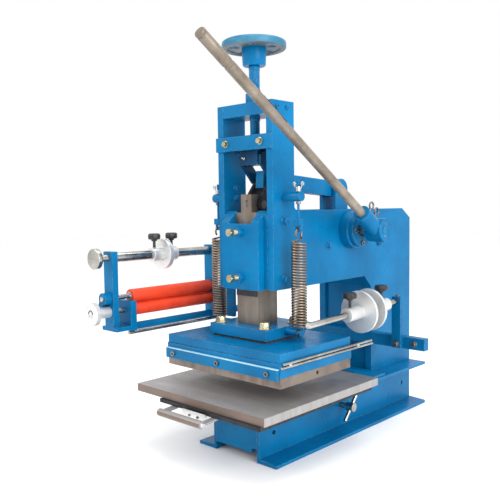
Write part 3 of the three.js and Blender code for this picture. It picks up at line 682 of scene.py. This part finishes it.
# ---- springs ----
PITCH = 5.2
COIL_TOP = 409
COIL_BOTTOM = 250
COIL_RADIUS = 13.3
SPRING_X = 107.5
SPRING_Y = PIN_Y
WIRE = 1.95
TOP_HOOK_Z = 426.5
TOP_HOOK_RADIUS = 8.6
PEG_Z = 239
PEG_EYE_RADIUS = 7.7
HANGER_LOW = 451
HANGER_TOP = 524
WING_NUT_LOW = 504.4


def helix(x, low, high, phase_from):
    """Points of a coil about a vertical axis, in step with a coil that starts at phase_from."""
    per_turn = 24
    count = int(round((high - low) / PITCH * per_turn))
    points = []
    for step in range(count + 1):
        height = low + (high - low) * step / count
        angle = 2 * math.pi * (height - phase_from) / PITCH
        points.append(at(x + COIL_RADIUS * math.sin(angle), SPRING_Y + COIL_RADIUS * math.cos(angle), height))
    return points


def arc(x, centre_y, centre_z, radius, start, end, count):
    """Points of an arc in a plane across the machine, its angles in degrees."""
    points = []
    for step in range(count + 1):
        angle = math.radians(start + (end - start) * step / count)
        points.append(at(x, centre_y + radius * math.cos(angle), centre_z + radius * math.sin(angle)))
    return points


def build_springs():
    """Two coils wound in step for each spring, the upper on the frame and the lower on the ram.

    They overlap by more than the ram's travel."""
    middle = 330
    overlap = 17.0
    for side, name in ((-1, "left"), (1, "right")):
        x = side * SPRING_X
        mesh = bmesh.new()
        points = helix(x, middle - overlap, COIL_TOP, COIL_BOTTOM)
        last = points[-1]
        points += [last + Vector((0, 0, 1.5 * MM)), at(x, SPRING_Y + 9, COIL_TOP + 6)]
        points += arc(x, SPRING_Y, TOP_HOOK_Z, TOP_HOOK_RADIUS, -50, 230, 18)
        sweep(mesh, points, WIRE * MM, 10)
        upper = piece(f"spring_{name}_upper_coil", mesh, SPRING_STEEL, "frame", 60)
        mesh = bmesh.new()
        points = arc(x, SPRING_Y, PEG_Z, PEG_EYE_RADIUS, -190, -10, 12)
        points += [at(x, SPRING_Y + 8.6, 242), at(x, SPRING_Y + 11.5, 247.5)]
        points += helix(x, COIL_BOTTOM, middle + overlap, COIL_BOTTOM)
        sweep(mesh, points, (WIRE - 0.03) * MM, 10)
        lower = piece(f"spring_{name}_lower_coil", mesh, SPRING_STEEL, "ram", 60)
        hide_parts(f"spring_{name}")
        mesh = bmesh.new()
        thread(mesh, at(x, SPRING_Y, 0), Z_AXIS, 2.5, HANGER_LOW, HANGER_TOP, 1.0, 0.35)
        rod = piece(f"spring_hanger_{name}_thread", mesh, BRIGHT_ZINC, "frame", 70)
        build_wing_nut(x, name)
        nut = hex_bolt(f"spring_hanger_{name}_nut", at(x, SPRING_Y, 485.6), -Z_AXIS, 9, 4.5, "frame")


def build_wing_nut(x, name):
    """A tapered body with two bent wings that end in round pads."""
    mesh = bmesh.new()
    body = [(2.6, 0), (5.6, 0), (5.6, 1.5), (4.8, 9), (2.6, 9), (2.6, 0)]
    lathe(mesh, body, at(x, SPRING_Y, WING_NUT_LOW), Z_AXIS, 32)
    for side in (-1, 1):
        points = []
        for reach, height in ((4.6, 4), (6.6, 7), (8.6, 10.5), (10, 14)):
            points.append(at(x + side * reach, SPRING_Y, WING_NUT_LOW + height))
        sweep(mesh, points, 1.35 * MM, 12)
        pad = at(x + side * 10, SPRING_Y, WING_NUT_LOW + 14)
        lathe(mesh, rounded(4.2, -1.3, 1.3, 1.0), pad, Y_AXIS, 28)
    nut = piece(f"wing_nut_{name}_body", mesh, BRIGHT_ZINC, f"wing_nut_{name}", 50)
    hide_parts(f"wing_nut_{name}")


# ---- foil supply ----
DROOP = math.radians(2)
ARM_Y = 352
SHAFT_FRONT_Y = 44
DISC_RADIUS = 42
DISC_HALF = 3
DISC_HUB_RADIUS = 14
DISC_BORE = 6.1
SUPPLY_ORIGIN = at(155, ARM_Y, 272)
SUPPLY_AXIS = Vector((0, math.cos(DROOP), math.sin(DROOP)))
SUPPLY_UP = Vector((0, -math.sin(DROOP), math.cos(DROOP)))


def build_supply():
    """The supply shaft, which droops to the front, with two discs, their knobs and the arm's bolts."""
    aluminium = MATERIALS["aluminium"]
    steel = MATERIALS["polished_steel"]
    length = ARM_Y - SHAFT_FRONT_Y
    bar = rounded(6, -length, 5.6, 0.8)
    shaft = turned("supply_shaft_bar", [bar], SUPPLY_ORIGIN, SUPPLY_AXIS, steel, "frame", 48)
    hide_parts("supply_shaft")
    for name, disc, hub_low, hub_high, knob in (
        ("front", 208, 163, 206, 176), ("rear", 240, 242, 306, 288),
    ):
        mesh = bmesh.new()
        plate = rounded(DISC_RADIUS, disc - DISC_HALF - ARM_Y, disc + DISC_HALF - ARM_Y, 0.8, DISC_BORE)
        lathe(mesh, plate, SUPPLY_ORIGIN, SUPPLY_AXIS, 96)
        hub = rounded(DISC_HUB_RADIUS, hub_low - ARM_Y, hub_high - ARM_Y, 0.8, DISC_BORE)
        lathe(mesh, hub, SUPPLY_ORIGIN, SUPPLY_AXIS, 64)
        made = piece(f"supply_disc_{name}_turned", mesh, aluminium, f"supply_disc_{name}", 30)
        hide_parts(f"supply_disc_{name}")
        place = SUPPLY_ORIGIN + SUPPLY_AXIS * (knob - ARM_Y) * MM
        build_knob(f"supply_knob_{name}", place, SUPPLY_UP, 7.2, 31, 43, 14)
    screw = socket_screw("supply_arm_set_screw", at(155, 351.7, 281.6), Z_AXIS, 4, 4, "frame")
    bolt = hex_bolt("supply_arm_foot_bolt", at(155.5, 345.6, 181), -Y_AXIS, 10, 5, "frame", 7)
    bolt = hex_bolt("rear_crossbar_bolt_right", at(191, 357.9, 183), -Y_AXIS, 10, 5, "frame", 7)


def build_knob(node, origin, up, low, neck, top, radius):
    """A lobed hand knob on its screw."""
    mesh = bmesh.new()
    lathe(mesh, rounded(3, low, neck + 1, 0.3), origin, up, 24)
    lathe(mesh, [(0, neck - 3), (5.5, neck - 3), (6.5, neck), (0, neck)], origin, up, 32)
    place = turned_frame(origin, up)
    segments = 96
    rings = []
    for reach, height in (
        (0.72, neck), (0.9, neck + 0.8), (1.0, neck + 2.6), (1.0, top - 3.6), (0.93, top - 1.4),
        (0.76, top - 0.2), (0.4, top),
    ):
        ring = []
        for step in range(segments):
            angle = 2 * math.pi * step / segments
            out = radius * reach * (1 - 0.06 * (1 + math.cos(7 * angle)) / 2)
            ring.append(round_vertex(mesh, place, out, angle, height))
        rings.append(ring)
    join_rings(mesh, rings)
    made = piece(f"{node}_grip", mesh, MATERIALS["black_plastic"], node, 40)
    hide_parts(node)


# ---- foil rewind ----
REWIND_X = -200
REWIND_Z = 380.5
NIP_UPPER_Z = 301
NIP_LOWER_Z = 274
REWIND_BORE = 9.6
ROLLER_RADIUS = 13.3
ROLLER_FRONT = -84.5
ROLLER_REAR = 134


def build_rewind():
    """The rewind shaft with its disc and knobs, the two nip rollers, the drive knob and the foil rest rod."""
    steel = MATERIALS["polished_steel"]
    aluminium = MATERIALS["aluminium"]
    rubber = MATERIALS["roller_rubber"]
    top = at(REWIND_X, 0, REWIND_Z)
    shaft = turned(
        "rewind_shaft_bar",
        [rounded(7, -160, 154, 0.5), rounded(9.5, -121.2, 134.7, 0.6), rounded(20.2, -168, -158, 1.2),
         rounded(9, -158.4, -152, 0.6)],
        top, Y_AXIS, steel, "rewind_shaft", 64,
    )
    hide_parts("rewind_shaft")
    disc = turned(
        "rewind_disc_turned",
        [rounded(32, -2, 9, 1.2, REWIND_BORE), rounded(15, -28, -1, 0.8, REWIND_BORE),
         rounded(15, 8, 36, 0.8, REWIND_BORE)],
        top, Y_AXIS, aluminium, "rewind_disc", 96,
    )
    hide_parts("rewind_disc")
    for name, y in (("front", -19), ("rear", 27)):
        build_knob(f"rewind_knob_{name}", at(REWIND_X, y, REWIND_Z), Z_AXIS, 10, 31, 44, 13)
    for name, z, front in (("upper", NIP_UPPER_Z, -152), ("lower", NIP_LOWER_Z, -174)):
        body = f"nip_{name}"
        axle = turned(
            f"nip_roller_{name}_axle", [rounded(5, front, 148, 0.4), rounded(8, -86, -84.4, 0.2)],
            at(REWIND_X, 0, z), Y_AXIS, steel, body, 48,
        )
        sleeve = turned(
            f"nip_roller_{name}_sleeve", [rounded(ROLLER_RADIUS, ROLLER_FRONT, ROLLER_REAR, 0.8, 5.05)],
            at(REWIND_X, 0, z), Y_AXIS, rubber, body, 72,
        )
        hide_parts(f"nip_roller_{name}")
    mesh = bmesh.new()
    origin = at(REWIND_X, 0, NIP_LOWER_Z)
    knurled(mesh, 22.5, -177, -166, origin, Y_AXIS, 90)
    lathe(mesh, rounded(11, -167, -134.8, 0.5), origin, Y_AXIS, 48)
    lathe(mesh, rounded(9, -177.0, -176.2, 0.2), origin, Y_AXIS, 48)
    knob = piece("drive_knob_turned", mesh, aluminium, "nip_lower", 35)
    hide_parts("drive_knob")
    rod = turned(
        "foil_rest_rod", [rounded(3.6, -101, 149, 0.5)],
        at(REWIND_X + 16, 0, 229.5), Y_AXIS, steel, "frame", 32,
    )


# ---- bolts and small parts of the head, the guides, the column and the table ----
def build_head_details():
    """The ram flange's four bolts, the head strip's screws, and a pale strip along the head strip's upper
    edge that is a painted highlight.
    """
    for number, (x, y) in enumerate(((-59, 35), (-59, 121), (59, 35), (59, 121))):
        place = at(x, y, 246.6)
        bolt = hex_bolt(f"ram_flange_bolt_{number + 1}", place, Z_AXIS, 17, 11, "ram", 13, YELLOW_ZINC)
    for number, x in enumerate((-126, 0, 126)):
        screw = socket_screw(f"head_strip_screw_{number + 1}", at(x, -35, 185), -Y_AXIS, 5, 4, "ram")
    # Painted highlight: a thin pale strip on the head strip's top edge.
    mesh = bmesh.new()
    block(mesh, at(-149, -34.8, 194.1), at(149, -28.8, 195.7))
    edge = piece("head_strip_painted_highlight", mesh, PAINTED_HIGHLIGHT, "ram", 30, 0.3 * MM)


def build_guide_details():
    """The bolts of the clamp bar and of the column's side, the two gib screws and the ram tang's screws."""
    blue = MATERIALS["blue_paint"]
    for number, x in enumerate((-45, 46)):
        place = at(x, 42, 600)
        bolt = hex_bolt(f"clamp_bar_bolt_{number + 1}", place, -Y_AXIS, 10, 6, "slider", 7, YELLOW_ZINC)
    for number, z in enumerate((449, 337.6)):
        place = at(COLUMN_SIDE, 78, z)
        bolt = hex_bolt(f"column_side_bolt_{number + 1}", place, X_AXIS, 13, 8, "frame", 9.5, blue)
    for number, z in enumerate((428.5, 341)):
        mesh = bmesh.new()
        origin = at(0, 31.5, z)
        corner = 16 / math.sqrt(3)
        nut = [(0, 0), (corner, 0), (corner, 8), (7.2, 9.4), (0, 9.4)]
        lathe(mesh, nut, origin, -Y_AXIS, 48, hexagon=(1, 2))
        lock = piece(f"gib_screw_lock_nut_{number + 1}", mesh, blue, "frame", 30)
        mesh = bmesh.new()
        thread(mesh, origin, -Y_AXIS, 5, 9, 24, 1.5, 0.7)
        head = [(0, 23), (8.2, 23), (8.2, 30), (7, 31.4), (0, 31.4)]
        lathe(mesh, head, origin, -Y_AXIS, 48, hexagon=(1, 2))
        screw = piece(f"gib_screw_{number + 1}", mesh, YELLOW_ZINC, "frame", 30)
    for number, z in enumerate((480, 488)):
        screw = socket_screw(f"ram_tang_screw_{number + 1}", at(0, 50.6, z), -Y_AXIS, 2.6, 2.0, "ram")


def build_column_details():
    """The top plate's screws, the left column's bolts, the slider's grease nipple, and a black strip on the
    ram's face just under the front cover, painted shadow.
    """
    blue = MATERIALS["blue_paint"]
    for number, y in enumerate((62, 90)):
        place = at(COLUMN_SIDE, y, 663.5)
        screw = socket_screw(f"top_plate_screw_{number + 1}", place, X_AXIS, 4.5, 3, "frame", blue)
    for number, z in enumerate((515.3, 495)):
        place = at(-57.3, 80, z)
        bolt = hex_bolt(f"left_column_bolt_{number + 1}", place, X_AXIS, 10, 6, "frame", 7, blue)
    nipple = turned(
        "slider_grease_nipple", [[(0, 0), (3.6, 0), (3.6, 2), (2.2, 3), (2.2, 5), (1.4, 6), (0, 6)]],
        at(-13, 60, 572), -Y_AXIS, BRIGHT_ZINC, "slider", 24,
    )
    # Painted shadow: a black strip where the front cover shades the ram.
    mesh = bmesh.new()
    block(mesh, at(-27, 47.6, 303), at(27, 50.1, 317))
    shadow_strip = piece("ram_painted_shadow_strip", mesh, MATERIALS["black_plastic"], "frame", 30, 0.4 * MM)


def build_table_details():
    """The worktable's two pins, its latch plate with screws and the nuts of its pull handle."""
    for number, x in enumerate((-30, 42)):
        mesh = bmesh.new()
        pin_top = [(0, -0.4), (3, -0.4), (3, 0.25), (2.4, 0.5), (0, 0.5)]
        lathe(mesh, pin_top, at(x, -78, 128.5), Z_AXIS, 24)
        pin = piece(f"table_pin_{number + 1}", mesh, BRIGHT_ZINC, "table", 30)
    mesh = bmesh.new()
    block(mesh, at(-23, -104, 94), at(38, -101.5, 110))
    block(mesh, at(-23, -101.6, 102.8), at(38, -97.3, 106))
    plate = piece("table_latch_plate", mesh, MATERIALS["aluminium"], "table", 30, 0.4 * MM)
    for number, x in enumerate((-2, 20)):
        place = at(x, -104, 102)
        screw = socket_screw(f"table_latch_screw_{number + 1}", place, -Y_AXIS, 2.6, 1.6, "table")
    for number, x in enumerate((-52, 62)):
        out = -X_AXIS if x < 0 else X_AXIS
        place = at(x, -132, 104)
        end = hex_bolt(f"table_handle_nut_{number + 1}", place, out, 8, 3, "table", 5, BRIGHT_ZINC)


def build_pad():
    """The insulating sheet under the ram's flange, a little wider than the flange, coloured dark as painted
    shade in the gap.
    """
    overhang = Vector((0.4, 0.4, 0)) * MM
    mesh = bmesh.new()
    block(mesh, at(-70, 25, 221.05) - overhang, at(70, 132, 225.7) + overhang)
    # Painted shade: the sheet is a real spacer, and its dark colour stands for the shaded gap under the
    # flange.
    pad = piece("flange_insulator", mesh, SHADED_INSULATION, "ram", 30, 0.3 * MM)


build_handwheel()
build_screw()
build_handle()
build_drum()
build_springs()
build_supply()
build_rewind()
build_head_details()
build_guide_details()
build_column_details()
build_table_details()
build_pad()


# ---- floor, light and camera ----
def build_stage():
    """A pale floor just under the feet, and a white studio all round."""
    reach = 9.0
    level = -0.0005
    square = ((-1, -1), (1, -1), (1, 1), (-1, 1))
    mesh = bmesh.new()
    mesh.faces.new([mesh.verts.new((x * reach, y * reach, level)) for x, y in square])
    data = bpy.data.meshes.new("floor")
    mesh.to_mesh(data)
    mesh.free()
    floor = bpy.data.objects.new("floor", data)
    bpy.context.scene.collection.objects.link(floor)
    material = bpy.data.materials.new("floor")
    material.use_nodes = True
    shader = material.node_tree.nodes["Principled BSDF"]
    shader.inputs["Base Color"].default_value = (0.99, 0.99, 0.99, 1)
    shader.inputs["Roughness"].default_value = 0.9
    data.materials.append(material)
    world = bpy.data.worlds.new("studio")
    world.use_nodes = True
    background = world.node_tree.nodes["Background"]
    background.inputs["Color"].default_value = (1, 1, 1, 1)
    background.inputs["Strength"].default_value = 1.0
    bpy.context.scene.world = world


def area_light(name, place, target, size, power):
    """A square soft light at a place, turned to a target."""
    data = bpy.data.lights.new(name, "AREA")
    data.shape = "SQUARE"
    data.size = size
    data.energy = power
    light = bpy.data.objects.new(name, data)
    bpy.context.scene.collection.objects.link(light)
    light.location = place
    light.rotation_euler = (Vector(target) - Vector(place)).to_track_quat("-Z", "Y").to_euler()


def build_lights():
    """Soft lights at the front left, at the right and overhead."""
    centre = (0, 0, 0.4)
    area_light("key", (-1.6, -2.2, 1.9), centre, 1.2, 26)
    area_light("right", (2.4, -0.6, 1.3), centre, 1.6, 44)
    area_light("top", (0.2, 0.2, 2.6), centre, 1.6, 22)


def build_camera():
    """The camera, from its yaw, pitch and roll."""
    data = bpy.data.cameras.new("camera")
    data.sensor_width = 36
    data.lens = 47.41
    camera = bpy.data.objects.new("camera", data)
    bpy.context.scene.collection.objects.link(camera)
    yaw = math.radians(43.45)
    pitch = math.radians(-3.81)
    roll = math.radians(-0.79)
    forward = Vector((-math.sin(yaw) * math.cos(pitch), math.cos(yaw) * math.cos(pitch), math.sin(pitch)))
    level = Vector((math.cos(yaw), math.sin(yaw), 0))
    above = level.cross(forward)
    right = level * math.cos(roll) + above * math.sin(roll)
    up = above * math.cos(roll) - level * math.sin(roll)
    turn = Matrix((right, up, -forward)).transposed().to_4x4()
    camera.matrix_world = Matrix.Translation(at(886.27, -876.01, 478.22)) @ turn
    bpy.context.scene.camera = camera


build_stage()
build_lights()
build_camera()
bpy.context.scene.view_settings.view_transform = "Standard"
